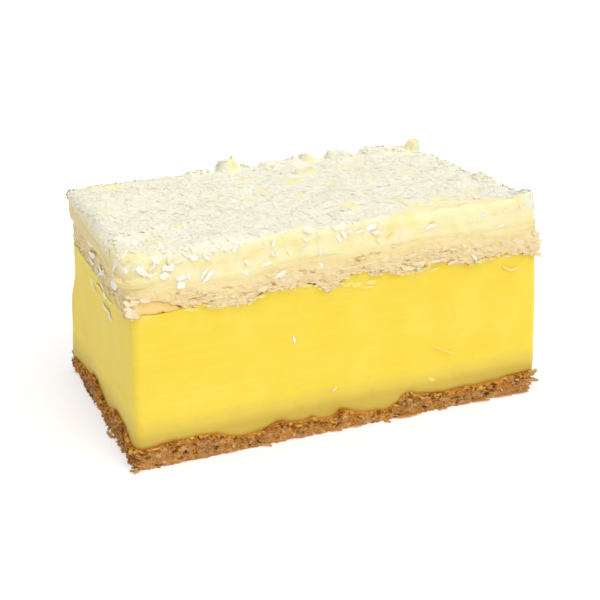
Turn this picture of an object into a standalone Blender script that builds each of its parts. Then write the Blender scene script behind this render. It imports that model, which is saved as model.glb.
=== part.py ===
"""A custard slice, cut from a tray: browned flaky base pastry, a deep block of set custard, a paler
flaky pastry lid, and icing under shredded coconut.

X runs along the slice, Y from its front to its back and Z up. The origin is on the surface that
the slice stands on, under the middle of its outline. Metres throughout.
"""

import random

import bmesh
import bpy
import numpy as np
from mathutils import Matrix, Vector, noise

MM = 0.001

# Size of the cut block, and the level of each layer's top
LENGTH = 100 * MM
DEPTH = 57 * MM
BASE_TOP = 4.4 * MM
CUSTARD_TOP = 34.3 * MM
LID_TOP = 41.7 * MM
ICING_TOP = 48.1 * MM

# The air between one layer and the next
GAP = 0.35 * MM

# Each layer's corners at its underside and at its top, in millimetres: front left, front right,
# back right and back left. The knife leaned inwards, and the lid is a little askew.
BASE_CORNERS = (
    ((-50.4, -28.5), (49.6, -28.5), (49.6, 28.5), (-50.4, 28.5)),
    ((-50.4, -28.5), (49.6, -28.5), (49.6, 28.5), (-50.4, 28.5)),
)
CUSTARD_CORNERS = (
    ((-49.7, -27.6), (50.9, -27.6), (50.9, 28.6), (-49.7, 28.6)),
    ((-48.7, -25.5), (50.4, -25.5), (50.4, 27.3), (-48.7, 27.3)),
)
LID_CORNERS = (
    ((-49.5, -26.1), (50.7, -26.0), (50.4, 27.4), (-48.4, 27.4)),
    ((-50.0, -26.3), (49.5, -26.2), (49.0, 26.6), (-48.0, 26.8)),
)
ICING_CORNERS = (
    ((-49.8, -25.9), (48.9, -25.8), (48.2, 26.2), (-48.6, 26.5)),
    ((-49.8, -25.3), (48.7, -25.4), (47.6, 26.0), (-49.4, 26.2)),
)
PASTRY_CORNER = 1.6 * MM
CUSTARD_CORNER = 1.2 * MM
ICING_CORNER = 2.4 * MM

# Cells of the grid that every outline and the icing's top are drawn on
LONG_CELLS = 40
DEEP_CELLS = 22

# Flaky pastry: how deep its crags are, and how wide and how thick its leaves of dough are
CRAG_DEPTH = 0.9 * MM
LEAF_WIDTH = 4.5 * MM
LEAF_THICKNESS = 1.3 * MM
BASE_ROWS = 6
LID_ROWS = 6

# The custard's faces are smooth, with a slow swell left by the knife
SWELL = 0.25 * MM
SWELL_WIDTH = 22 * MM
CUSTARD_ROWS = 3

# Two layers meet along a seam that wanders up and down round the rim, and is level inside it. It
# also sags or rises here and there: X, Y, reach and rise of each place, in millimetres.
SEAM_WANDER = 0.3 * MM
RIM_WIDTH = 4 * MM
BASE_SAGS = (
    (-50.4, 6.5, 4, 2.2),
    (-50.4, -3.5, 3.5, -0.6),
    (-50.4, -15, 6.2, 2.0),
    (-47, -28.5, 3, -0.3),
    (-40, -28.5, 6, 0.7),
    (-24.5, -28.5, 5.5, -1.7),
    (-12.2, -28.5, 3, -1.1),
    (-5.2, -28.5, 3, -1.6),
    (6.8, -28.5, 6.4, -2.5),
    (15.2, -28.5, 2.5, 0.9),
    (26, -28.5, 4.5, -0.7),
    (36, -28.5, 6, -1.3),
)
LID_SAGS = (
    (-41.5, -26.1, 4, -0.6),
    (-35, -26.1, 3, 0.8),
    (-25, -26.1, 5, -0.8),
    (-14, -26.1, 6.5, 1.6),
    (-3.2, -26.1, 3, -1.0),
    (2.1, -26.1, 4, 1.3),
    (8, -26.1, 6.5, 1.3),
    (20.5, -26.1, 4, 0.8),
    (25.5, -26.1, 5, 1.2),
    (30.5, -26.1, 4, -0.5),
    (40, -26.1, 6.5, 0.9),
)
ICING_SAGS = (
    (-29.5, -26.3, 11, -2.3),
    (-18, -26.3, 4, -0.5),
    (1.5, -26.3, 4.5, -0.6),
    (26, -26.3, 9, 0.6),
    (45, -26.3, 8, 0.5),
)

# The icing's edge and its heaped top: X, Y, radius and rise of each lump, in millimetres
ICING_EDGE = 2.0 * MM
ICING_ROUGHNESS = 0.5 * MM
ICING_ROUGH_WIDTH = 5 * MM
LUMPS = (
    (-50, -26, 14, -1.9),
    (-50, 24, 9, -0.4),
    (-20, 26, 4, 1.2),
    (-9.4, 24.5, 3.2, 3.2),
    (6, 26, 7, 1.2),
    (16, 25, 6, 1.5),
    (24, 25, 4, 1.2),
    (36, 24, 7, 2.0),
    (44.6, 24.0, 2.8, 2.4),
    (47, -1, 5, 0.9),
    (48, -11, 3, -0.9),
    (49, -24, 9, 1.6),
    (10, -8, 16, 0.4),
)

# Shredded coconut fused to the icing
SHRED_LENGTH = (2.6 * MM, 4.6 * MM)
SHRED_WIDTH = (0.8 * MM, 1.2 * MM)
SHRED_THICKNESS = 0.75 * MM
SHRED_SUNK = 0.3
SHREDS_LONG = 16
SHREDS_DEEP = 8
SHREDS_FRONT = 8
SHREDS_LEFT = 6
SHRED_SEED = 11


def rim_grid():
    """The grid's boundary, anticlockwise seen from above, as places from -1 to 1 along X and Y."""
    along = np.linspace(-1, 1, LONG_CELLS + 1)
    across = np.linspace(-1, 1, DEEP_CELLS + 1)
    front = [(u, -1) for u in along[:-1]]
    right = [(1, v) for v in across[:-1]]
    back = [(u, 1) for u in along[:0:-1]]
    left = [(-1, v) for v in across[:0:-1]]
    return np.array(front + right + back + left)


def place(grid, corners, radius, inset=0):
    """(points, outward directions) in X and Y for places of the grid on a four-cornered outline.

    The outline is moved in by inset, and its corners are rounded. Places inside the rim fall on
    smaller outlines of the same shape.
    """
    corners = np.array(corners) * MM
    half = np.array((LENGTH / 2, DEPTH / 2))
    size = np.abs(grid).max(axis=1, keepdims=True)
    straight = size * (half - inset - radius)
    square = grid * (half - inset)
    core = np.clip(square, -straight, straight)
    out = square - core
    out /= np.maximum(np.linalg.norm(out, axis=1, keepdims=True), 1e-9)
    share = (1 + (core + out * size * radius) / half) / 2
    front = corners[0] + (corners[1] - corners[0]) * share[:, :1]
    back = corners[3] + (corners[2] - corners[3]) * share[:, :1]
    return front + (back - front) * share[:, 1:], out


def blend(corners, share):
    """A layer's corners at a share of the way from its underside to its top."""
    low, high = np.array(corners)
    return low + share * (high - low)


class Seam:
    """Where two layers meet: a level, and a rise or a fall of its own at each place round the rim.

    A sag is nearly level within its reach of its middle and steep at its ends: its height times exp
    of minus the fourth power of the distance over the reach.
    """

    def __init__(self, level, corners, phase, sags):
        self.level = level
        self.phase = phase
        self.sags = sags
        self.inner, _ = place(rim_grid(), corners, PASTRY_CORNER, RIM_WIDTH)
        self.outer, _ = place(rim_grid(), corners, PASTRY_CORNER)

    def rise(self, xy):
        """How far the seam rises from its level at points on the rim."""
        x, y = xy.T / MM
        waves = 0.6 * np.sin(x / 5.1 + self.phase)
        waves += 0.4 * np.sin(x / 2.7 + y / 4.3 + 2 * self.phase)
        rise = SEAM_WANDER * waves
        for sag_x, sag_y, reach, height in self.sags:
            far = ((x - sag_x) ** 2 + (y - sag_y) ** 2) / reach**2
            rise += height * MM * np.exp(-(far**2))
        return rise

    def heights(self, xy, above=False):
        """The seam's height at points near the rim: its layer's top, or the next one's underside."""
        reach = np.linalg.norm(xy - self.inner, axis=1)
        share = reach / np.linalg.norm(self.outer - self.inner, axis=1)
        return self.level + self.rise(xy) * share + (GAP if above else 0)

    def inside(self, above=False):
        """The level ring inside the rim."""
        height = self.level + (GAP if above else 0)
        return np.column_stack((self.inner, np.full(len(self.inner), height)))


BASE_SEAM = Seam(BASE_TOP, BASE_CORNERS[1], 0.4, BASE_SAGS)
LID_SEAM = Seam(CUSTARD_TOP, LID_CORNERS[0], 1.7, LID_SAGS)
ICING_SEAM = Seam(LID_TOP, LID_CORNERS[1], 3.9, ICING_SAGS)


def icing_top(x, y):
    """The height of the icing's heaped top."""
    height = ICING_TOP
    for lump_x, lump_y, radius, rise in LUMPS:
        away = ((x / MM - lump_x) ** 2 + (y / MM - lump_y) ** 2) / radius**2
        height += rise * MM * np.exp(-away)
    rough = noise.noise(Vector((x, y, 0)) / ICING_ROUGH_WIDTH)
    return height + ICING_ROUGHNESS * rough


def crag(point, seed):
    """How far a pastry's side stands out at a point: leaves of dough, wide along and thin in height."""
    x, y, z = point
    layer = z / LEAF_THICKNESS + seed
    leaf = noise.noise(Vector((x / LEAF_WIDTH, y / LEAF_WIDTH, layer)))
    tooth = noise.noise(Vector((2.3 * x / LEAF_WIDTH, 2.3 * y / LEAF_WIDTH, layer + seed)))
    return CRAG_DEPTH * (leaf + 0.6 * tooth)


def side_rings(corners, radius, rows, low, high, relief):
    """Rings of points up a layer's side, from the seam below it to the seam above it.

    low is None for a layer that stands on a level surface. relief takes a point and gives how far
    the side stands out there.
    """
    grid = rim_grid()
    rings = []
    for share in np.linspace(0, 1, rows + 1):
        xy, out = place(grid, blend(corners, share), radius)
        level = (1 - share) * (low.level if low else 0) + share * high.level
        stand = np.array([relief((x, y, level)) for x, y in xy])
        xy = xy + out * stand[:, None]
        floor = low.heights(xy, above=True) if low else np.zeros(len(xy))
        height = (1 - share) * floor + share * high.heights(xy)
        rings.append(np.column_stack((xy, height)))
    return rings


def new_material(name, colour, roughness):
    """A plain surface of one colour, given as linear red, green and blue."""
    material = bpy.data.materials.new(name)
    material.use_nodes = True
    surface = material.node_tree.nodes["Principled BSDF"]
    surface.inputs["Base Color"].default_value = (*colour, 1)
    surface.inputs["Roughness"].default_value = roughness
    surface.inputs["Metallic"].default_value = 0
    return material


def new_object(name, bm, material):
    """An object of that name from a bmesh, shaded smooth but for its sharp edges."""
    bmesh.ops.recalc_face_normals(bm, faces=bm.faces)
    mesh = bpy.data.meshes.new(name)
    bm.to_mesh(mesh)
    bm.free()
    mesh.materials.append(material)
    mesh.shade_smooth()
    mesh.set_sharp_from_angle(angle=0.6)
    made = bpy.data.objects.new(name, mesh)
    bpy.context.scene.collection.objects.link(made)
    return made


def skin_rings(bm, rings):
    """Joins each ring of points to the next with a band of triangles, and gives their vertices.

    The last band's triangles slant the other way. So where a layer's top meets the next one's
    underside, both slant alike from the rim, and the gap between them stays even.
    """
    made = [[bm.verts.new(point) for point in ring] for ring in rings]
    for lower, upper in zip(made, made[1:]):
        for i in range(len(lower)):
            after = (i + 1) % len(lower)
            if upper is made[-1]:
                bm.faces.new((lower[i], lower[after], upper[after]))
                bm.faces.new((lower[i], upper[after], upper[i]))
            else:
                bm.faces.new((lower[i], lower[after], upper[i]))
                bm.faces.new((lower[after], upper[after], upper[i]))
    return made


def make_layer(name, rings, material):
    """A solid layer: bands of faces from ring to ring, and a face closing each end."""
    bm = bmesh.new()
    made = skin_rings(bm, rings)
    bm.faces.new(made[0])
    bm.faces.new(made[-1])
    return new_object(name, bm, material)


def make_base():
    """The browned sheet under the custard. It stands on a flat underside."""

    def relief(point):
        return crag(point, 3.0)

    rings = side_rings(BASE_CORNERS, PASTRY_CORNER, BASE_ROWS, None, BASE_SEAM, relief)
    rings.append(BASE_SEAM.inside())
    make_layer("base_pastry", rings, new_material("browned_pastry", (0.42, 0.19, 0.06), 0.8))


def make_custard():
    """The block of set custard between the two pastries."""

    def relief(point):
        return SWELL * noise.noise(Vector(point) / SWELL_WIDTH)

    side = side_rings(CUSTARD_CORNERS, CUSTARD_CORNER, CUSTARD_ROWS, BASE_SEAM, LID_SEAM, relief)
    rings = [BASE_SEAM.inside(above=True), *side, LID_SEAM.inside()]
    make_layer("custard", rings, new_material("custard", (0.95, 0.72, 0.09), 0.4))


def make_lid():
    """The paler pastry sheet on the custard."""

    def relief(point):
        return crag(point, 8.0)

    side = side_rings(LID_CORNERS, PASTRY_CORNER, LID_ROWS, LID_SEAM, ICING_SEAM, relief)
    rings = [LID_SEAM.inside(above=True), *side, ICING_SEAM.inside()]
    make_layer("top_pastry", rings, new_material("pale_pastry", (0.85, 0.68, 0.40), 0.8))


def icing_rings():
    """Rings up the icing's side: level inside, out along its seam, and up to its rounded edge."""
    xy, _ = place(rim_grid(), ICING_CORNERS[0], ICING_CORNER)
    foot = np.column_stack((xy, ICING_SEAM.heights(xy, above=True)))
    rings = [ICING_SEAM.inside(above=True), foot]
    for share, inset, drop in ((0.5, 0, 1.1), (0.85, 0.3, 0.3)):
        corners = blend(ICING_CORNERS, share)
        xy, _ = place(rim_grid(), corners, ICING_CORNER, inset * ICING_EDGE)
        height = np.array([icing_top(x, y) for x, y in xy]) - drop * ICING_EDGE
        rings.append(np.column_stack((xy, height)))
    return rings


def icing_sheet():
    """Points of the icing's top inside its rounded edge, as rows along X from front to back."""
    along = np.linspace(-1, 1, LONG_CELLS + 1)
    across = np.linspace(-1, 1, DEEP_CELLS + 1)
    grid = np.array([(u, v) for v in across for u in along])
    xy, _ = place(grid, ICING_CORNERS[1], ICING_CORNER, ICING_EDGE)
    height = np.array([icing_top(x, y) for x, y in xy])
    return np.column_stack((xy, height)).reshape(DEEP_CELLS + 1, LONG_CELLS + 1, 3)


def make_icing():
    """The icing without its coconut: a rounded slab with a lumpy top."""
    bm = bmesh.new()
    made = skin_rings(bm, icing_rings())
    bm.faces.new(made[0])
    sheet = [[bm.verts.new(point) for point in row] for row in icing_sheet()]
    for front, back in zip(sheet, sheet[1:]):
        for i in range(LONG_CELLS):
            bm.faces.new((front[i], front[i + 1], back[i + 1], back[i]))
    right = [row[-1] for row in sheet]
    left = [row[0] for row in sheet]
    rim = sheet[0][:-1] + right[:-1] + sheet[-1][:0:-1] + left[:0:-1]
    for i in range(len(rim)):
        after = (i + 1) % len(rim)
        bm.faces.new((made[-1][i], made[-1][after], rim[after], rim[i]))
    return new_object("icing", bm, new_material("icing", (0.95, 0.88, 0.62), 0.5))


def make_shred(draw, matrix):
    """One shred of coconut: a thin bar, thicker in the middle and narrower at its ends."""
    length = draw.uniform(*SHRED_LENGTH)
    width = draw.uniform(*SHRED_WIDTH)
    bm = bmesh.new()
    bmesh.ops.create_cube(bm, size=1)
    whole = bm.verts[:] + bm.edges[:] + bm.faces[:]
    bmesh.ops.bisect_plane(bm, geom=whole, plane_co=(0, 0, 0), plane_no=(1, 0, 0))
    for vert in bm.verts:
        end = abs(vert.co.x) > 0.1
        top = vert.co.z > 0
        vert.co.x *= length
        vert.co.y *= width * (0.6 if end else 1)
        vert.co.z += 0.5 - SHRED_SUNK + (0.35 if top and not end else 0)
        vert.co.z *= SHRED_THICKNESS
    bm.transform(matrix)
    return new_object("shred", bm, bpy.data.materials["icing"])


def stand_on(spot, outwards, heading):
    """The frame of a shred lying at a spot of a surface that faces outwards, turned by heading."""
    turn = Vector((0, 0, 1)).rotation_difference(outwards).to_matrix().to_4x4()
    return Matrix.Translation(spot) @ turn @ Matrix.Rotation(heading, 4, "Z")


def top_frame(x, y, heading):
    """The frame of a shred lying on the icing's top."""
    step = 1 * MM
    slope_x = (icing_top(x + step, y) - icing_top(x - step, y)) / (2 * step)
    slope_y = (icing_top(x, y + step) - icing_top(x, y - step)) / (2 * step)
    return stand_on(Vector((x, y, icing_top(x, y))), Vector((-slope_x, -slope_y, 1)), heading)


def side_frame(grid, rise, heading):
    """The frame of a shred stuck to the icing's side, that rise above the icing's underside."""
    corners = blend(ICING_CORNERS, rise / (ICING_TOP - LID_TOP))
    xy, out = place(np.array((grid,)), corners, ICING_CORNER)
    return stand_on(Vector((*xy[0], LID_TOP + rise)), Vector((*out[0], 0)), heading)


def scatter_shreds():
    """Shreds on a jittered grid over the icing's top, and a few on its front and left sides."""
    draw = random.Random(SHRED_SEED)
    reach_x = LENGTH / 2 - 5.5 * MM
    reach_y = DEPTH / 2 - 5.5 * MM
    made = []
    for i in range(SHREDS_LONG):
        for j in range(SHREDS_DEEP):
            x = reach_x * ((2 * i + 1 + draw.uniform(-0.8, 0.8)) / SHREDS_LONG - 1)
            y = reach_y * ((2 * j + 1 + draw.uniform(-0.8, 0.8)) / SHREDS_DEEP - 1)
            made.append(make_shred(draw, top_frame(x, y, draw.uniform(0, 3.1))))
    for i in range(SHREDS_FRONT):
        u = (2 * i + 1 + draw.uniform(-0.5, 0.5)) / SHREDS_FRONT - 1
        frame = side_frame((0.9 * u, -1), draw.uniform(1.6, 2.4) * MM, draw.uniform(-0.5, 0.5))
        made.append(make_shred(draw, frame))
    for i in range(SHREDS_LEFT):
        v = (2 * i + 1 + draw.uniform(-0.5, 0.5)) / SHREDS_LEFT - 1
        frame = side_frame((-1, 0.85 * v), draw.uniform(1.6, 2.2) * MM, draw.uniform(1.1, 2.0))
        made.append(make_shred(draw, frame))
    return made


def keep_outside(mesh):
    """Keeps a mesh's largest shell, which fills the hollows sealed under crossing shreds."""
    bm = bmesh.new()
    bm.from_mesh(mesh)
    left = set(bm.faces)
    shells = []
    while left:
        shell = [left.pop()]
        for face in shell:
            for edge in face.edges:
                near = [other for other in edge.link_faces if other in left]
                left.difference_update(near)
                shell.extend(near)
        shells.append(shell)
    largest = max(shells, key=len)
    for shell in shells:
        if shell is not largest:
            bmesh.ops.delete(bm, geom=shell, context="FACES")
    bm.to_mesh(mesh)
    bm.free()


def fuse(body, pieces):
    """Joins the pieces to the body with one Boolean union, and removes them."""
    collection = bpy.data.collections.new("fused")
    bpy.context.scene.collection.children.link(collection)
    for piece in pieces:
        bpy.context.scene.collection.objects.unlink(piece)
        collection.objects.link(piece)
    union = body.modifiers.new("union", "BOOLEAN")
    union.operation = "UNION"
    union.operand_type = "COLLECTION"
    union.collection = collection
    union.solver = "MANIFOLD"
    bpy.context.view_layer.update()
    graph = bpy.context.evaluated_depsgraph_get()
    joined = bpy.data.meshes.new_from_object(body.evaluated_get(graph))
    body.modifiers.remove(union)
    keep_outside(joined)
    body.data = joined
    for piece in pieces:
        bpy.data.objects.remove(piece)
    bpy.data.collections.remove(collection)


def main():
    for left_over in list(bpy.data.objects):
        bpy.data.objects.remove(left_over)
    make_base()
    make_custard()
    make_lid()
    fuse(make_icing(), scatter_shreds())


main()
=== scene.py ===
"""A vanilla slice, cut from a tray, on a pale floor.

From the floor up: a browned flaky pastry sheet, a deep block of set custard, a paler flaky lid, and
icing under shredded coconut. The long cut face is at the front, along -Y, and the short one at the
left, along -X. Sizes are in millimetres until a mesh is made, and metres after that.
"""

import bpy
import numpy as np
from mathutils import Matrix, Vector


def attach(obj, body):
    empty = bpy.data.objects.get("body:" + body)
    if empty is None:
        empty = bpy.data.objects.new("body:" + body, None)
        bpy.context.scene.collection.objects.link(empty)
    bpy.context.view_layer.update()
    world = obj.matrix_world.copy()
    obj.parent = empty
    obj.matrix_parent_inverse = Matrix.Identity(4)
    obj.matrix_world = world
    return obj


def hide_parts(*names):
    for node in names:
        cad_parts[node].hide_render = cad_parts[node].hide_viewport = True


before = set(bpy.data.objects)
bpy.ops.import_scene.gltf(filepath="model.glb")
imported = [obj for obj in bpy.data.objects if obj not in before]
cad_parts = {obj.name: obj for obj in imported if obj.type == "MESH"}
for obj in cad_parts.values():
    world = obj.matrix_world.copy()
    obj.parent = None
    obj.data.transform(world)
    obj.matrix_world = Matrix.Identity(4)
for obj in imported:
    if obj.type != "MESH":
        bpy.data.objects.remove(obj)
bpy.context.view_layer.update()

# --------------------
# The camera stands off the front left corner, a little above the slice. Its lens is for a sensor
# 36 mm wide, and the picture is 600 pixels square.

MM = 0.001
AZIMUTH = np.radians(-23.34)
ELEVATION = np.radians(22.0)
DISTANCE = 283.0
TARGET = np.array((0.0, -0.5, 21.1))
LENS = 69.86
SENSOR = 36
PICTURE = 600

away = np.array(
    (
        np.sin(AZIMUTH) * np.cos(ELEVATION),
        -np.cos(AZIMUTH) * np.cos(ELEVATION),
        np.sin(ELEVATION),
    )
)
rightwards = np.array((np.cos(AZIMUTH), np.sin(AZIMUTH), 0))
upwards = np.cross(away, rightwards)
eye = TARGET + away * DISTANCE

camera = bpy.data.objects.new("camera", bpy.data.cameras.new("camera"))
camera.data.lens = LENS
camera.data.clip_start = 0.01
camera.location = Vector(eye * MM)
camera.rotation_euler = Vector(away).to_track_quat("Z", "Y").to_euler()
bpy.context.scene.collection.objects.link(camera)
bpy.context.scene.camera = camera
bpy.context.scene.view_settings.view_transform = "Standard"


def meet(plane, px, py):
    """Where the camera's sight through pixels, from the top left, meets a plane (point, normal)."""
    point, normal = plane
    across = (np.asarray(px, dtype=float) - PICTURE / 2) / PICTURE * SENSOR / LENS
    down = (np.asarray(py, dtype=float) - PICTURE / 2) / PICTURE * SENSOR / LENS
    sight = across[..., None] * rightwards - down[..., None] * upwards - away
    return eye + sight * ((point - eye) @ normal / (sight @ normal))[..., None]


# --------------------
# A white table that glows, under an even white sky, as in a light tent. A broad lamp lights the
# front face from above its right end, and another hangs overhead.

# Half the table's width in metres, the share of light it gives back, and how it and the sky glow
TABLE_REACH = 12.0
TABLE_GREY = 0.54
TABLE_GLOW = 0.52
SKY_GLOW = 0.3
WHITE = (1, 1, 1, 1)


def white_table():
    """A flat square that the slice stands on."""
    mesh = bpy.data.meshes.new("table")
    reach = TABLE_REACH
    corners = [(-reach, -reach, 0), (reach, -reach, 0), (reach, reach, 0), (-reach, reach, 0)]
    mesh.from_pydata(corners, [], [(0, 1, 2, 3)])
    table = bpy.data.objects.new("table", mesh)
    bpy.context.scene.collection.objects.link(table)
    acrylic = bpy.data.materials.new("white acrylic")
    acrylic.use_nodes = True
    looks = {
        "Base Color": (TABLE_GREY, TABLE_GREY, TABLE_GREY, 1),
        "Roughness": 0.9,
        "Specular IOR Level": 0.1,
        "Emission Color": WHITE,
        "Emission Strength": TABLE_GLOW,
    }
    for key, value in looks.items():
        acrylic.node_tree.nodes["Principled BSDF"].inputs[key].default_value = value
    mesh.materials.append(acrylic)


def lamp(name, azimuth, elevation, strength, spread):
    """A far broad lamp, as wide as its spread in degrees, whose light falls alike everywhere."""
    light = bpy.data.lights.new(name, "SUN")
    light.angle = np.radians(spread)
    light.energy = strength * np.pi
    made = bpy.data.objects.new(name, light)
    turn, lift = np.radians((azimuth, elevation))
    place = (np.sin(turn) * np.cos(lift), -np.cos(turn) * np.cos(lift), np.sin(lift))
    made.rotation_euler = Vector(place).to_track_quat("Z", "Y").to_euler()
    bpy.context.scene.collection.objects.link(made)


white_table()
sky = bpy.data.worlds.new("sky")
sky.use_nodes = True
sky.node_tree.nodes["Background"].inputs["Color"].default_value = WHITE
sky.node_tree.nodes["Background"].inputs["Strength"].default_value = SKY_GLOW
bpy.context.scene.world = sky
lamp("front lamp", azimuth=24, elevation=42, strength=0.38, spread=50)
lamp("top lamp", azimuth=0, elevation=88, strength=0.52, spread=70)


# --------------------
# The base pastry is a thin sheet of browned flaky dough, about 4 mm thick. Its cut edge is crumbly,
# with leaf on leaf of dough and small holes, and custard has soaked into its top. Shade is painted
# dark brown into its holes and low places.

# The slice's length and depth, how far in from a layer's side its top is level, the height of the
# waves in a seam, and how far up this sheet reaches
LENGTH = 100
DEPTH = 57
RIM_WIDTH = 4
SEAM_WANDER = 0.3
BASE_TOP = 4.4

# The seam on top of the sheet: its waves' phase, and its sags' middles, reaches and heights
BASE_PHASE = 0.4
BASE_SAGS = (
    (-50.4, 6.5, 4, 2.2),
    (-50.4, -3.5, 3.5, -0.6),
    (-50.4, -15, 6.2, 2.0),
    (-47, -28.5, 3, -0.3),
    (-40, -28.5, 6, 0.7),
    (-24.5, -28.5, 5.5, -1.7),
    (-12.2, -28.5, 3, -1.1),
    (-5.2, -28.5, 3, -1.6),
    (6.8, -28.5, 6.4, -2.5),
    (15.2, -28.5, 2.5, 0.9),
    (26, -28.5, 4.5, -0.7),
    (36, -28.5, 6, -1.3),
)

# The corners of its lower and its upper outline, from the front left, and their radius
BASE_CORNERS = (
    ((-50.4, -28.5), (49.6, -28.5), (49.6, 28.5), (-50.4, 28.5)),
    ((-50.4, -28.5), (49.6, -28.5), (49.6, 28.5), (-50.4, 28.5)),
)
PASTRY_CORNER = 1.6

# Points along the length and the depth of a pastry's edge, 0.2 mm apart, and up the base's
PASTRY_PLACES = (500, 285)
BASE_ROWS = 26


def noise(size, seed, *axes):
    """Smooth noise from -1 to 1 at points given by their coordinates, with bumps of that size.

    Each whole-numbered corner of a lattice gets a random value, from a hash of its coordinates. The
    value inside a cell blends its corners by 3 t squared - 2 t cubed along each axis.
    """
    at = np.stack(np.broadcast_arrays(*axes), axis=-1) / size
    cell = np.floor(at).astype(np.int64)
    t = at - cell
    t = t * t * (3 - 2 * t)
    primes = (73856093, 19349663, 83492791)[: len(axes)]
    total = 0
    for corner in np.ndindex(*(2,) * len(axes)):
        step = np.array(corner)
        key = ((cell + step) * primes).sum(axis=-1) + seed * 6542989
        key = (key ^ (key >> 15)) * 2246822519 & 0xFFFFFFFF
        key = (key ^ (key >> 13)) * 3266489917 & 0xFFFFFFFF
        value = ((key ^ (key >> 16)) & 0xFFFF) / 32767.5 - 1
        total = total + value * np.prod(np.where(step, t, 1 - t), axis=-1)
    return total


def rim_places(long, deep):
    """Places round the rim, from -1 to 1 along X and Y, anticlockwise from above.

    So many lie evenly along its length, and so many along its depth.
    """
    u = np.linspace(-1, 1, long + 1)[:-1]
    v = np.linspace(-1, 1, deep + 1)[:-1]
    front = np.stack((u, np.full(long, -1)), axis=-1)
    right = np.stack((np.ones(deep), v), axis=-1)
    return np.concatenate((front, right, -front, -right))


def corner_blend(places, values):
    """Values at places, blended along X and Y from those of the four corners, front left first."""
    share = (1 + places) / 2
    front = values[0] + (values[1] - values[0]) * share[..., :1]
    back = values[3] + (values[2] - values[3]) * share[..., :1]
    return front + (back - front) * share[..., 1:]


def outline(places, corners, radius, inset=0):
    """(points, outward directions) in X and Y of places on a four-cornered outline.

    A place is first put on a rectangle of the slice's size, less the inset. Within a radius of a
    corner, which may be each corner's own, it is drawn in to the corner's arc. It then goes to the
    four corners by blending them along X and along Y.
    """
    radius = corner_blend(places, np.broadcast_to(radius, 4))
    half = np.array((LENGTH / 2, DEPTH / 2))
    size = np.abs(places).max(axis=-1, keepdims=True)
    straight = size * (half - inset - radius)
    square = places * (half - inset)
    core = np.clip(square, -straight, straight)
    out = square - core
    out /= np.maximum(np.linalg.norm(out, axis=-1, keepdims=True), 1e-9)
    return corner_blend((core + out * size * radius) / half, np.array(corners)), out


def wall(places, corners, radius, low, high, rows):
    """(x, y, z, out_x, out_y, share) on a grid up a layer's side: rows of places round its rim.

    A row is a share of the way up, from the lower outline and heights to the upper ones.
    """
    share = np.linspace(0, 1, rows)[:, None]
    low_xy, out = outline(places, corners[0], radius)
    high_xy, _ = outline(places, corners[1], radius)
    xy = low_xy + (high_xy - low_xy) * share[..., None]
    return xy[..., 0], xy[..., 1], low + (high - low) * share, out[:, 0], out[:, 1], share


def seam_rise(x, y, phase, sags):
    """How far a seam between two layers rises from its level at the rim: two waves, and its sags.

    A sag is nearly level within its reach of its middle and steep at its ends: its height times exp
    of minus the fourth power of the distance over the reach.
    """
    waves = 0.6 * np.sin(x / 5.1 + phase) + 0.4 * np.sin(x / 2.7 + y / 4.3 + 2 * phase)
    rise = SEAM_WANDER * waves
    for sag_x, sag_y, reach, height in sags:
        far = ((x - sag_x) ** 2 + (y - sag_y) ** 2) / reach**2
        rise = rise + height * np.exp(-(far**2))
    return rise


def band(rows, count):
    """Quads that join each ring of count points to the ring after it, facing outwards."""
    ring = np.arange(count)
    start = np.arange(rows - 1)[:, None] * count
    low, after = start + ring, start + (ring + 1) % count
    return np.stack((low, after, after + count, low + count), axis=-1).reshape(-1, 4)


def inner_rings(places, corners, radius, insets, level, rim):
    """Rings drawn in from a layer's side, whose heights go from the rim's to a flat level."""
    rings = []
    for inset in insets:
        xy, _ = outline(places, corners, radius, inset)
        rings.append(np.column_stack((xy, level + (rim - level) * (1 - inset / RIM_WIDTH))))
    return rings


def closed(places, corners, radius, side, inset, under, over):
    """(points, faces) of a layer: its side's grid, with two rings under it and two over it.

    One ring of each pair is drawn in by the inset and the other by the rim's width, where it ends
    in one flat face. Under and over are each a flat level and the heights at the rim.
    """
    low = inner_rings(places, corners[0], radius, (RIM_WIDTH, inset), *under)
    high = inner_rings(places, corners[1], radius, (inset, RIM_WIDTH), *over)
    rings = np.concatenate((low, side, high))
    rows, count = rings.shape[:2]
    faces = band(rows, count).tolist()
    faces.append(list(range(count))[::-1])
    faces.append(list(range((rows - 1) * count, rows * count)))
    return rings.reshape(-1, 3), faces


def with_ends(grid, under, over):
    """A value for each point of a closed layer: one for the rings under its side, and one over."""
    rings = np.ones((2, grid.shape[1]))
    return np.concatenate((under * rings, grid, over * rings))


def new_piece(name, points, faces, material, smooth=True, **values):
    """A mesh object in metres, with a value for each point in each named attribute."""
    mesh = bpy.data.meshes.new(name)
    mesh.from_pydata((np.asarray(points).reshape(-1, 3) * MM).tolist(), [], faces)
    for key, value in values.items():
        layer = mesh.attributes.new(key, "FLOAT", "POINT")
        layer.data.foreach_set("value", np.asarray(value, dtype=np.float32).ravel())
    if smooth:
        mesh.shade_smooth()
    mesh.materials.append(material)
    piece = bpy.data.objects.new(name, mesh)
    bpy.context.scene.collection.objects.link(piece)
    return piece


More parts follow.
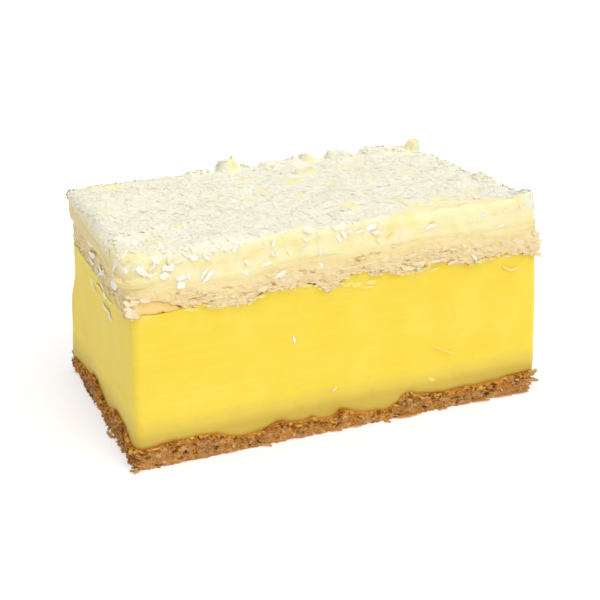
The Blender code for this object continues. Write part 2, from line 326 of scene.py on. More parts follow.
class Wire:
    """A socket of a material's nodes, or the bare node tree where there is no socket.

    Sums, differences and products of values add Math nodes, from either side.
    """

    def __init__(self, tree, socket=None):
        self.tree = tree
        self.socket = socket

    def node(self, kind, settings, values, out=0):
        """Adds a node: its settings are set first, then its sockets' values or links."""
        made = self.tree.nodes.new("ShaderNode" + kind)
        for key, value in settings.items():
            setattr(made, key, value)
        for key, value in values.items():
            if isinstance(value, Wire):
                self.tree.links.new(value.socket, made.inputs[key])
            else:
                made.inputs[key].default_value = value
        return Wire(self.tree, made.outputs[out])

    def maths(self, operation, first, second):
        return self.node("Math", {"operation": operation}, {0: first, 1: second})

    def __add__(self, other):
        return self.maths("ADD", self, other)

    def __sub__(self, other):
        return self.maths("SUBTRACT", self, other)

    def __rsub__(self, other):
        return self.maths("SUBTRACT", other, self)

    def __mul__(self, other):
        return self.maths("MULTIPLY", self, other)

    __radd__ = __add__
    __rmul__ = __mul__

    def ramp(self, low, high):
        """0 up to low, 1 from high, and an even curve between them. low may be above high."""
        ends = {"Value": self, "From Min": low, "From Max": high}
        return self.node("MapRange", {"interpolation_type": "SMOOTHSTEP"}, ends)

    def mix(self, first, second):
        """The first colour where this value is 0 and the second where it is 1."""
        return self.node("Mix", {"data_type": "RGBA"}, {0: self, 6: first, 7: second}, 2)

    def attribute(self, name):
        """A value that the mesh holds for each point."""
        return self.node("Attribute", {"attribute_name": name}, {}, "Fac")

    def noise(self, size, detail=2, stretch=(1, 1, 1)):
        """Noise from 0 to 1 with spots of a size in millimetres, longer along a stretched axis."""
        place = self.node("TexCoord", {}, {}, "Object")
        scale = [1 / (size * MM * by) for by in stretch]
        place = self.node("Mapping", {}, {"Vector": place, "Scale": scale})
        return self.node("TexNoise", {}, {"Vector": place, "Scale": 1, "Detail": detail}, "Fac")

    def finish(self, colour, roughness, height, depth, **constants):
        """Makes the surface: colour, roughness, and bumps of a depth in millimetres."""
        surface = self.tree.nodes["Principled BSDF"]
        for key, value in constants.items():
            surface.inputs[key.replace("_", " ")].default_value = value
        bump = self.node("Bump", {}, {"Height": height, "Distance": depth * MM})
        links = {"Base Color": colour, "Roughness": roughness, "Normal": bump}
        for key, value in links.items():
            self.tree.links.new(value.socket, surface.inputs[key])


def new_material(name):
    """(material, its node tree as a Wire)."""
    material = bpy.data.materials.new(name)
    material.use_nodes = True
    return material, Wire(material.node_tree)


def rgb(red, green, blue):
    """A screen's colour, from 0 to 255, as linear light: the screen's own curve is undone."""
    seen = np.array((red, green, blue)) / 255
    light = np.where(seen <= 0.04045, seen / 12.92, ((seen + 0.055) / 1.055) ** 2.4)
    return (*light.tolist(), 1.0)


def browned_crust():
    """Browned dough: pale chips on mid brown, amber where custard soaked in, and painted shade,
    dark brown, in its gaps and holes.
    """
    material, wire = new_material("browned crust")
    gap, tone, soak = (wire.attribute(name) for name in ("gap", "tone", "soak"))
    patch = wire.noise(4, 2)
    grain = wire.noise(0.45, 3)
    colour = patch.ramp(0.35, 0.65).mix(rgb(202, 147, 72), rgb(192, 143, 88))
    colour = (tone.ramp(0.55, 0.9) * 0.7).mix(colour, rgb(232, 192, 134))
    colour = (tone.ramp(0.4, 0.1) * 0.6).mix(colour, rgb(192, 120, 42))
    colour = (grain.ramp(0.6, 0.36) * 0.55).mix(colour, rgb(158, 100, 42))
    # Painted shade: dark brown where the gap value is high, in holes and low places of the edge; on
    # chips it marks a few dark ones at random
    colour = (gap.ramp(0.35, 0.9) * 0.8).mix(colour, rgb(112, 62, 20))
    amber = (grain * 0.5 + tone * 0.5).ramp(0.3, 0.75).mix(rgb(176, 100, 18), rgb(226, 172, 72))
    # Painted shade, nearly black brown, in the gaps of the amber soaked top
    amber = (gap.ramp(0.3, 0.85) * 0.85).mix(amber, rgb(110, 54, 10))
    colour = soak.mix(colour, amber)
    roughness = 0.85 - soak * 0.4
    height = grain + wire.noise(0.22, 2) * 0.5
    wire.finish(colour, roughness, height, 0.15, Specular_IOR_Level=0.2)
    return material


crust = browned_crust()


def crumbly_edge(x, y, z, seed):
    """(how far a crumbly edge stands out, how deep in a hole or low place it is, which sets the
    painted shade there, its tone).

    Three sizes of noise, stretched along the rim and so like torn leaves lying level, stand the
    edge in and out. Holes are sunk where another noise is high.
    """
    crumb = 0.24 * noise(1.3, seed, x / 1.9, y / 1.9, z)
    crumb = crumb + 0.34 * noise(0.7, seed + 1, x / 1.5, y / 1.5, z)
    crumb = crumb + 0.22 * noise(0.4, seed + 2, x, y, z)
    hole = np.clip(noise(0.75, seed + 3, x / 1.3, y / 1.3, z) - 0.45, 0, 1)
    tone = 0.5 + 0.6 * noise(0.6, seed + 4, x / 1.5, y / 1.5, z)
    # How deep a point is in a hole or a low place, for painted shade
    gap = np.clip(0.25 - 1.1 * crumb + 2.0 * hole, 0, 1)
    return 0.9 * crumb - 1.1 * hole, gap, tone


def base_sheet():
    """The base pastry: its crumbly side, drawn in under it and on top of it to flat ends.

    Around the rim, height runs from the table to the seam with the custard, whose own edge is
    ragged by fine noise.
    """
    places = rim_places(*PASTRY_PLACES)
    x, y = outline(places, BASE_CORNERS[0], PASTRY_CORNER)[0].T
    rise = seam_rise(x, y, BASE_PHASE, BASE_SAGS)
    ragged = 0.35 * noise(1.5, 3, x, y) + 0.35 * noise(0.6, 4, x, y)
    low = 0.3 * np.clip(noise(1.7, 14, x, y), 0, 1)
    high = BASE_TOP + 0.1 + rise + ragged
    grid = wall(places, BASE_CORNERS, PASTRY_CORNER, low, high, BASE_ROWS)
    x, y, z, out_x, out_y, share = grid
    stand, gap, tone = crumbly_edge(x, y, z, seed=10)
    ends = np.minimum(1, 7 * share + 0.2) * np.minimum(1, 8 * (1 - share) + 0.2)
    stand = stand - 0.5 * (1 - ends) + 0.7 * (1 - share) ** 2 * (out_y < -0.9)
    soak = (z - high + 0.7 + 0.4 * noise(1.1, 21, x, y, z) + 0.5 * noise(3, 22, x, y)) / 0.8
    side = np.stack((x + out_x * stand, y + out_y * stand, z), axis=-1)
    ends = ((0.0, 0 * low), (BASE_TOP, high - ragged))
    points, faces = closed(places, BASE_CORNERS, PASTRY_CORNER, side, 0.9, *ends)
    values = {
        "gap": with_ends(gap, 0.4, 0.4),
        "tone": with_ends(tone, 0.5, 0.5),
        "soak": with_ends(np.clip(soak, 0, 1), 0, 1),
    }
    sheet = new_piece("base_pastry_sheet", points, faces, crust, **values)
    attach(sheet, "root")
    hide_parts("base_pastry")


base_sheet()


# --------------------
# Chips of the browned dough have broken along the cut edge. They are thin leaves, still held in the
# sheet by one side, with amber curls along its top. A few have come loose and hang at its foot.

# How many chips there are, the share that curl up at the top, how far off the table the lowest are
# kept, and the rings of points along a chip
BASE_CHIPS = 2400
CURLED = 0.22
ABOVE_TABLE = 0.02
STATIONS = 5


def slivers(draw, spots, along, facing, sizes, bow, ragged, taper, stations):
    """(points, faces, a random tone per point) of thin bits, each a flat bar bent in an arc.

    Sizes are its length, width and thickness. At station a from -1 to 1, a bit's middle is half its
    length times a along its direction, raised towards its facing side by bow times 1 - a squared.
    Its half width there is less by taper times a squared, times a random share, and its flat top is
    a little narrower than its underside.
    """
    count = len(spots)
    length, width, thickness = (size[:, None, None] for size in sizes)
    along = along / np.linalg.norm(along, axis=-1, keepdims=True)
    across = np.cross(facing, along)
    across = across / np.linalg.norm(across, axis=-1, keepdims=True)
    facing = np.cross(along, across)
    a = np.linspace(-1, 1, stations)[None, :, None]
    shares = 1 + ragged * draw.uniform(-1, 1, (count, stations, 2))
    half = 0.5 * width * (1 - taper * a**2) * shares
    b = half[..., (0, 0, 1, 1)] * (1.0, 0.8, -0.8, -1.0)
    c = 0.5 * thickness * np.array((-1.0, 1.0, 1.0, -1.0)) * (1 - 0.3 * a**2)
    raised = bow[:, None, None] * (1 - a**2) + c
    points = (
        spots[:, None, None, :]
        + (0.5 * length * a)[..., None] * along[:, None, None, :]
        + b[..., None] * across[:, None, None, :]
        + raised[..., None] * facing[:, None, None, :]
    )
    one = band(stations, 4).tolist()
    corners = 4 * stations
    one.append([3, 2, 1, 0])
    one.append([corners - 4, corners - 3, corners - 2, corners - 1])
    starts = corners * np.arange(count)[:, None, None]
    faces = (starts + np.array(one)).reshape(-1, 4)
    tones = np.repeat(draw.uniform(0, 1, count), corners)
    return points.reshape(-1, 3), faces.tolist(), tones


def laid(draw, groups, thicknesses, ragged, taper):
    """Slivers that lie on faces: groups of a face and its bits' (pixels of the two ends, width).

    Each bit's ends are where the camera's sight of those pixels meets its face.
    """
    rows = [(face, *bit) for face, *bits in groups for bit in bits]
    ends = [meet(face, row[:4:2], row[1:4:2]) for face, *row in rows]
    first, second = np.array(ends).swapaxes(0, 1)
    facing = np.array([face[1] for face, *_ in rows])
    width = np.array([row[-1] for row in rows])
    thickness = draw.uniform(*thicknesses, len(rows))
    length = np.linalg.norm(second - first, axis=-1)
    spots = (first + second) / 2 + facing * 0.3 * thickness[:, None]
    sizes = (length, width, thickness)
    bow = draw.uniform(0.0, 0.05, len(rows)) * length
    return slivers(draw, spots, second - first, facing, sizes, bow, ragged, taper, STATIONS)


def side_spots(draw, count, corners, radius, low, high):
    """(points, outward directions, directions along the rim) of random spots on a layer's side."""
    places = rim_places(*PASTRY_PLACES)
    places = places[draw.integers(0, len(places), count)]
    share = draw.uniform(0, 1, count)
    below, out = outline(places, corners[0], radius)
    above, _ = outline(places, corners[1], radius)
    xy = below + (above - below) * share[:, None]
    spots = np.column_stack((xy, low + share * (high - low)))
    out = np.column_stack((out, np.zeros(count)))
    return spots, out, np.cross((0, 0, 1), out)


def face_plane(corners, low, high, side):
    """(point, outward normal) of a layer's front or left face, through three of its corners."""
    below, above = np.array(corners[0]), np.array(corners[1])
    first = np.array((*below[0], low))
    second = np.array((*below[1 if side == "front" else 3], low))
    third = np.array((*above[0], high))
    normal = np.cross(second - first, third - first)
    normal = normal if side == "front" else -normal
    return first, normal / np.linalg.norm(normal)


BASE_FACE = face_plane(BASE_CORNERS, 0, BASE_TOP, "front")
FLOOR = (np.array((0, 0, 0.3)), np.array((0, 0, 1)))

# Loose flakes: a face, and for each flake the pixels of its two ends and its width in millimetres
LOOSE_FLAKES = (
    (FLOOR, (107, 432, 113, 438, 0.9), (112, 437, 118, 438, 0.8), (112, 430, 117, 436, 0.8)),
    (FLOOR, (130, 471, 139, 472, 0.8), (134, 474, 142, 469, 0.7), (146, 468, 158, 466, 0.6)),
    (FLOOR, (172, 459, 186, 461, 0.6), (184, 460, 197, 459, 0.4), (226, 453, 238, 450, 0.7)),
    (FLOOR, (262, 445, 272, 446, 0.7), (330, 431, 342, 430, 0.7), (350, 427, 362, 426, 0.7)),
    (BASE_FACE, (196, 453, 204, 452, 0.7), (240, 444, 248, 444, 0.6)),
    (BASE_FACE, (296, 436, 303, 436, 0.6), (320, 430, 327, 431, 0.6)),
    (FLOOR, (384, 421, 391, 422, 0.7)),
    (BASE_FACE, (388, 414, 394, 417, 0.7)),
    (FLOOR, (396, 418, 410, 416, 0.6), (408, 417, 422, 413, 0.6)),
    (BASE_FACE, (428, 407, 438, 408, 0.8)),
    (FLOOR, (438, 410, 447, 408, 0.7), (452, 405, 470, 403, 0.6), (472, 402, 490, 400, 0.7)),
    (FLOOR, (494, 397, 512, 395, 0.8), (512, 394, 528, 391, 0.9)),
    (BASE_FACE, (526, 379, 538, 380, 1.0), (524, 376, 534, 374, 0.9), (528, 372, 537, 370, 1.2)),
)


def base_chips():
    """Chips along the base pastry's edge: leaves that lie nearly level and poke out of it."""
    draw = np.random.default_rng(4)
    count = BASE_CHIPS
    spots, out, along = side_spots(draw, count, BASE_CORNERS, PASTRY_CORNER, 0.15, BASE_TOP)
    high = BASE_TOP + seam_rise(spots[:, 0], spots[:, 1], BASE_PHASE, BASE_SAGS)
    spots[:, 2] *= high / BASE_TOP
    curl = draw.uniform(0, 1, count) < CURLED
    spots[:, 2] = np.where(curl, high + draw.uniform(-0.4, 0.45, count), spots[:, 2])
    spots = spots + out * draw.uniform(-0.25, 0.3, (count, 1))
    facing = np.array((0, 0, 1)) + out * 0.4 + 0.5 * draw.normal(0, 1, (count, 3))
    along = along + 0.4 * draw.normal(0, 1, (count, 3)) * (1, 1, 0.7)
    ranges = ((0.4, 1.9), (0.3, 0.9), (0.08, 0.22))
    sizes = [draw.uniform(*ends, count) for ends in ranges]
    bow = draw.uniform(-0.12, 0.2, count)
    made = slivers(draw, spots, along, facing, sizes, bow, 0.5, 0.5, STATIONS)
    points, faces, tones = made
    points[:, 2] = np.maximum(points[:, 2], ABOVE_TABLE)
    near_top = np.repeat(high - spots[:, 2], 4 * STATIONS) < 0.5
    values = {"gap": 0.8 * (tones < 0.15), "tone": tones, "soak": near_top * (tones > 0.2)}
    chips = new_piece("base_chips", points, faces, crust, False, **values)
    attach(chips, "root")
    points, faces, tones = laid(draw, LOOSE_FLAKES, (0.15, 0.35), 0.5, 0.4)
    points[:, 2] = np.maximum(points[:, 2], ABOVE_TABLE)
    values = {"gap": 0 * tones, "tone": 0.5 + 0.5 * tones, "soak": 0.5 * (tones < 0.2)}
    flakes = new_piece("base_loose_flakes", points, faces, crust, False, **values)
    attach(flakes, "root")


base_chips()


# --------------------
# The custard is a deep block, set firm and cut with a long knife. Its faces are smooth and moist,
# with faint level drag marks and small pits, and it is darker and amber where it meets the base.

CUSTARD_TOP = 34.3

# The seam under the lid, as the one on the base
LID_PHASE = 1.7
LID_SAGS = (
    (-41.5, -26.1, 4, -0.6),
    (-35, -26.1, 3, 0.8),
    (-25, -26.1, 5, -0.8),
    (-14, -26.1, 6.5, 1.6),
    (-3.2, -26.1, 3, -1.0),
    (2.1, -26.1, 4, 1.3),
    (8, -26.1, 6.5, 1.3),
    (20.5, -26.1, 4, 0.8),
    (25.5, -26.1, 5, 1.2),
    (30.5, -26.1, 4, -0.5),
    (40, -26.1, 6.5, 0.9),
)
CUSTARD_CORNERS = (
    ((-49.7, -27.6), (50.9, -27.6), (50.9, 28.6), (-49.7, 28.6)),
    ((-48.7, -25.5), (50.4, -25.5), (50.4, 27.3), (-48.7, 27.3)),
)
CUSTARD_CORNER = 2.0

# Points along its length and its depth, and rows up its side
CUSTARD_PLACES = (222, 126)
CUSTARD_ROWS = 76
CUSTARD_FACE = face_plane(CUSTARD_CORNERS, BASE_TOP, CUSTARD_TOP, "front")
CUSTARD_END = face_plane(CUSTARD_CORNERS, BASE_TOP, CUSTARD_TOP, "left")


def set_custard(name, depth):
    """Moist yellow custard: mottled, streaked, and darker towards its foot.

    Light sinks into it by a share, its depth, which is none for a thin film.
    """
    material, wire = new_material(name)
    foot, pale = wire.attribute("foot"), wire.attribute("pale")
    cloud = wire.noise(9, 3)
    streak = wire.noise(0.8, 3, (30, 30, 1))
    speck = wire.noise(0.7, 1)
    colour = cloud.ramp(0.35, 0.7).mix(rgb(252, 218, 66), rgb(254, 223, 80))
    colour = (streak.ramp(0.45, 0.7) * 0.25).mix(colour, rgb(255, 229, 100))
    colour = (speck.ramp(0.7, 0.8) * 0.25).mix(colour, rgb(255, 236, 130))
    colour = foot.ramp(0.2, 0.55).mix(colour, rgb(236, 209, 82))
    colour = foot.ramp(0.5, 0.8).mix(colour, rgb(216, 187, 78))
    colour = foot.ramp(0.8, 0.97).mix(colour, rgb(194, 143, 48))
    colour = pale.mix(colour, rgb(254, 232, 138))
    height = streak * 0.5 + wire.noise(2.2, 3) * 0.5
    roughness = 0.42 + cloud * 0.16
    wire.finish(
        colour,
        roughness,
        height,
        0.12,
        Subsurface_Weight=depth,
        Subsurface_Radius=(0.004, 0.0022, 0.0006),
        Subsurface_Scale=0.6,
        Specular_IOR_Level=0.3,
    )
    return material


custard_flesh = set_custard("set custard", 0.35)
custard_film = set_custard("custard film", 0.0)


def custard_block():
    """The custard: its side, with a slow swell and sharp small pits, closed at the ends.

    Height runs from the base's seam to the lid's. The side bows out by slow noise and low down at
    the back left corner, is drawn in by fine noise where that is high, and is scraped level by
    noise that is long along the rim. Just under the lid it is paler in patches, where the lid has
    smeared it. It darkens slowly towards its foot, and is stained just above the base.
    """
    places = rim_places(*CUSTARD_PLACES)
    low_xy, _ = outline(places, CUSTARD_CORNERS[0], CUSTARD_CORNER)
    high_xy, _ = outline(places, CUSTARD_CORNERS[1], CUSTARD_CORNER)
    low = BASE_TOP + seam_rise(*low_xy.T, BASE_PHASE, BASE_SAGS)
    high = CUSTARD_TOP + 0.15 + seam_rise(*high_xy.T, LID_PHASE, LID_SAGS)
    grid = wall(places, CUSTARD_CORNERS, CUSTARD_CORNER, low, high, CUSTARD_ROWS)
    x, y, z, out_x, out_y, _ = grid
    swell = 0.4 * noise(14, 31, x, y, z) + 0.14 * noise(4, 32, x, y, z)
    drag = 0.05 * noise(1.0, 33, x / 14, y / 14, z)
    pit = -0.6 * np.clip(noise(1.3, 34, x, y, z) - 0.66, 0, 1)
    smear = np.clip(noise(3.5, 37, x, y) + 0.6 * noise(1.1, 38, x, y, z) + 0.1, 0, 1)
    smear = smear * np.exp(-(((high - z) / 1.1) ** 2))
    bulge = np.exp(-((x + 49.5) ** 2 + (y - 27) ** 2) / 90) * np.clip((26 - z) / 6, 0, 1)
    stand = swell + drag + pit + 0.25 * smear + 1.0 * bulge
    ragged = 0.8 * noise(5, 35, x, y) + 0.3 * noise(1.5, 36, x, y)
    fade = np.clip(1 - (z - BASE_TOP + 0.7) / (9.8 + 1.0 * ragged), 0, 0.8)
    stain = np.clip(1 - (z - low) / (1.7 + 0.6 * noise(1.6, 39, x / 2, y / 2, z)), 0, 1)
    foot = fade + (1 - fade) * stain**2
    side = np.stack((x + out_x * stand, y + out_y * stand, z), axis=-1)
    ends = ((BASE_TOP - 0.1, low - 0.1), (CUSTARD_TOP + 0.1, high))
    points, faces = closed(places, CUSTARD_CORNERS, CUSTARD_CORNER, side, 0.7, *ends)
    values = {"foot": with_ends(foot, 1, 0), "pale": with_ends(0.7 * smear, 0, 0)}
    block = new_piece("custard_block", points, faces, custard_flesh, **values)
    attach(block, "root")
    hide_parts("custard")


custard_block()

# Smears and crumbs of custard on its own faces, given as the loose flakes are
CUSTARD_SMEARS = (
    (CUSTARD_FACE, (343, 286, 353, 282, 1.0), (352, 285, 361, 283, 1.2), (362, 288, 373, 286, 0.7)),
    (CUSTARD_FACE, (366, 283, 376, 281, 1.2), (298, 286, 312, 285, 0.9), (314, 286, 330, 283, 0.9)),
    (CUSTARD_FACE, (184, 310, 198, 309, 0.9), (206, 308, 222, 308, 0.6), (400, 275, 416, 272, 0.9)),
    (CUSTARD_FACE, (446, 266, 456, 263, 0.8), (430, 271, 438, 268, 0.7), (478, 261, 494, 259, 0.6)),
    (CUSTARD_FACE, (430, 345, 455, 354, 0.3), (428, 378, 434, 380, 0.8), (502, 266, 511, 271, 0.8)),
    (CUSTARD_FACE, (509, 271, 518, 267, 0.8)),
    (CUSTARD_END, (107, 300, 113, 304, 1.1), (96, 284, 102, 291, 0.9)),
)


def custard_smears():
    """Thin smears, a little paler than the face that each lies on."""
    draw = np.random.default_rng(5)
    points, faces, tones = laid(draw, CUSTARD_SMEARS, (0.1, 0.2), 0.4, 0.5)
    values = {"foot": 0 * tones, "pale": 0.6 + 0.4 * tones}
    smears = new_piece("custard_smears", points, faces, custard_film, False, **values)
    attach(smears, "root")


custard_smears()


# --------------------
# The lid is a paler sheet of flaky dough, baked for less time. Its upper half is soft with icing,
# and its lower half is torn into thin leaves that hang over the custard.

LID_TOP = 41.7

# The seam under the icing, as the one on the base
ICING_PHASE = 3.9
ICING_SAGS = (
    (-29.5, -26.3, 11, -2.3),
    (-18, -26.3, 4, -0.5),
    (1.5, -26.3, 4.5, -0.6),
    (26, -26.3, 9, 0.6),
    (45, -26.3, 8, 0.5),
)
LID_CORNERS = (
    ((-49.5, -26.1), (50.7, -26.0), (50.4, 27.4), (-48.4, 27.4)),
    ((-50.0, -26.3), (49.5, -26.2), (49.0, 26.6), (-48.0, 26.8)),
)
LID_FACE = face_plane(LID_CORNERS, CUSTARD_TOP, LID_TOP, "front")
LID_END = face_plane(LID_CORNERS, CUSTARD_TOP, LID_TOP, "left")

# Rows of points up its side, and how high a leaf is
LID_ROWS = 42
LEAF = 0.7

# The Y in front of which a place counts as on the front, and a hollow there: its ends along X, and
# the height of its lip at the left
FRONT = -20
HOLLOW = (-47.2, -35.5)
LIP = 37.5

# Cracks in the lid's front: pixels of the two ends, width in millimetres, depth from 0 to 1
LID_CRACKS = (
    (137, 304, 141, 306, 0.3, 1.0),
    (141, 306, 145, 311, 0.2, 0.6),
    (178, 304, 183, 309, 0.25, 0.8),
    (222, 288, 234, 287, 0.3, 0.6),
    (238, 286, 242, 287, 0.2, 0.7),
    (228, 299, 240, 296, 0.28, 0.7),
    (240, 295, 250, 290, 0.22, 0.6),
    (234, 303, 241, 301, 0.22, 0.7),
    (143, 291, 156, 293, 0.2, 0.5),
    (164, 287, 174, 288, 0.2, 0.5),
    (168, 293, 171, 296, 0.2, 0.5),
    (176, 294, 180, 294, 0.3, 0.7),
    (188, 291, 199, 292, 0.2, 0.5),
    (205, 293, 212, 292, 0.2, 0.5),
    (187, 299, 199, 299, 0.25, 0.6),
    (206, 302, 214, 300, 0.2, 0.5),
    (300, 271, 308, 272, 0.25, 0.6),
    (308, 272, 316, 273, 0.25, 0.6),
    (285, 277, 296, 275, 0.25, 0.6),
    (272, 285, 277, 285, 0.45, 0.6),
    (281, 288, 284, 288, 0.35, 0.7),
    (296, 284, 299, 284, 0.4, 0.8),
    (302, 281, 310, 282, 0.2, 0.8),
    (318, 281, 326, 282, 0.2, 0.7),
    (339, 273, 350, 272, 0.2, 0.4),
    (352, 258, 360, 262, 0.45, 0.7),
    (354, 261, 360, 257, 0.3, 0.6),
    (360, 258, 366, 256, 0.4, 0.9),
    (366, 256, 380, 252, 0.28, 0.8),
    (378, 252, 392, 249, 0.22, 0.6),
    (390, 249, 401, 245, 0.35, 0.8),
    (376, 271, 383, 271, 0.2, 0.7),
    (403, 262, 405, 259, 0.3, 1.0),
    (400, 265, 406, 267, 0.25, 0.8),
    (407, 259, 413, 258, 0.28, 0.7),
    (424, 265, 427, 269, 0.4, 0.9),
    (441, 239, 448, 237, 0.22, 0.7),
    (447, 236, 455, 236, 0.35, 0.9),
    (462, 234, 474, 234, 0.22, 0.4),
    (480, 236, 484, 235, 0.25, 0.6),
    (526, 226, 529, 225, 0.4, 0.5),
    (528, 249, 530, 245, 0.4, 0.8),
    (430, 256, 440, 254, 0.25, 0.6),
    (443, 252, 453, 252, 0.25, 0.6),
    (447, 258, 455, 259, 0.25, 0.7),
    (465, 247, 468, 249, 0.3, 0.8),
    (474, 254, 480, 253, 0.25, 0.6),
    (492, 238, 512, 240, 0.2, 0.3),
)


def pale_dough():
    """Pale dough: cream chips on beige, creamier under the icing, with painted shade, orange tan,
    in its grooves, holes and cracks, and a painted shadow, red brown, under the hollow's lip.
    """
    material, wire = new_material("pale dough")
    gap, tone, soak = (wire.attribute(name) for name in ("gap", "tone", "soak"))
    bare = wire.attribute("bare")
    grain = wire.noise(0.5, 3)
    patch = wire.noise(5, 2)
    streak = wire.noise(0.8, 3, (9, 9, 1))
    colour = patch.ramp(0.35, 0.65).mix(rgb(245, 221, 166), rgb(247, 226, 176))
    colour = (tone.ramp(0.5, 0.95) * 0.7).mix(colour, rgb(253, 243, 216))
    colour = (grain.ramp(0.58, 0.35) * 0.35).mix(colour, rgb(230, 199, 138))
    soft = streak.ramp(0.35, 0.65).mix(rgb(244, 218, 152), rgb(249, 230, 172))
    soft = (patch.ramp(0.55, 0.75) * 0.6).mix(soft, rgb(249, 220, 144))
    colour = (soak.ramp(0.0, 1.0) * 0.85).mix(colour, soft)
    colour = (soak.ramp(1.0, 2.0) * 0.35).mix(colour, rgb(250, 235, 178))
    # Painted shade: orange tan in the grooves, holes and cracks of the side
    colour = (gap.ramp(0.2, 0.9) * 0.85).mix(colour, rgb(204, 142, 62))
    smooth = patch.ramp(0.3, 0.7).mix(rgb(254, 218, 134), rgb(253, 225, 150))
    # Painted shadow, red brown, in the hollow under its lip and in its cracks
    smooth = gap.ramp(0.3, 1.0).mix(smooth, rgb(184, 104, 30))
    colour = bare.mix(colour, smooth)
    height = grain + wire.noise(0.22, 2) * 0.5
    wire.finish(colour, 0.8 - soak * 0.12, height, 0.12, Specular_IOR_Level=0.25)
    return material


dough = pale_dough()


def flaky_edge(x, y, z, leaf_height, seed):
    """(how far a flaky edge stands out, how deep in a groove or hole it is, which sets the painted
    shade there, a tone for each leaf).

    Height is warped by slow noise and cut into whole-numbered leaves. Each leaf's edge stands out
    by noise along the rim that is its own, and a shallow groove runs between it and the next.
    """
    warp = 1.1 * noise(9, seed, x, y) + 0.6 * noise(2.8, seed + 1, x, y, z)
    level = z / leaf_height + warp
    leaf = np.floor(level)
    across = 2 * (level - leaf) - 1
    leaf_x = x + 37.7 * leaf
    stand = 0.24 * noise(2.6, seed + 2, leaf_x, y) + 0.18 * noise(0.9, seed + 3, leaf_x, y)
    crumb = 0.1 * noise(0.5, seed + 4, x / 1.5, y / 1.5, z)
    groove = np.abs(across) ** 5
    hole = np.clip(noise(1.1, seed + 5, x / 1.5, y / 1.5, z) - 0.6, 0, 1)
    # Painted shade: deep in the grooves between leaves that stand in, and in holes
    gap = np.clip(0.6 * groove * (0.6 - stand) + 0.9 * hole - 0.3 * stand, 0, 1)
    tone = 0.5 + 0.5 * noise(1.6, seed + 6, leaf_x, y, z)
    return stand + crumb - 0.16 * groove - 0.7 * hole, gap, tone


def cracks(x, y, z, plane, lines):
    """How deep in a crack each point of a side is, from 0 to 1: its nearness to each line's chord.

    Points are first shifted by two sizes of noise, so that a crack wanders, and it narrows towards
    its ends.
    """
    deep = np.zeros(x.shape)
    slow = [0.45 * noise(1.6, seed, x, y, z) for seed in (91, 92, 93)]
    quick = [0.25 * noise(0.6, seed, x, y, z) for seed in (94, 95, 96)]
    points = np.stack((x, y, z), axis=-1) + np.stack(slow, axis=-1) + np.stack(quick, axis=-1)
    for *ends, width, depth in lines:
        first, second = meet(plane, ends[::2], ends[1::2])
        chord = second - first
        share = np.clip((points - first) @ chord / (chord @ chord), 0, 1)
        gap = np.linalg.norm(points - first - share[..., None] * chord, axis=-1)
        narrow = width * (1 - 0.6 * (2 * share - 1) ** 2)
        deep = np.maximum(deep, depth * np.exp(-((gap / narrow) ** 2)))
    return deep


def dragged(x, y, z):
    """How far the icing, and the dough that is soft with it, stand out: the knife's level marks."""
    marks = 0.14 * noise(1.1, 64, x / 12, y / 12, z)
    return marks + 0.25 * noise(4, 65, x, y, z) + 0.1 * noise(1.6, 66, x, y, z)


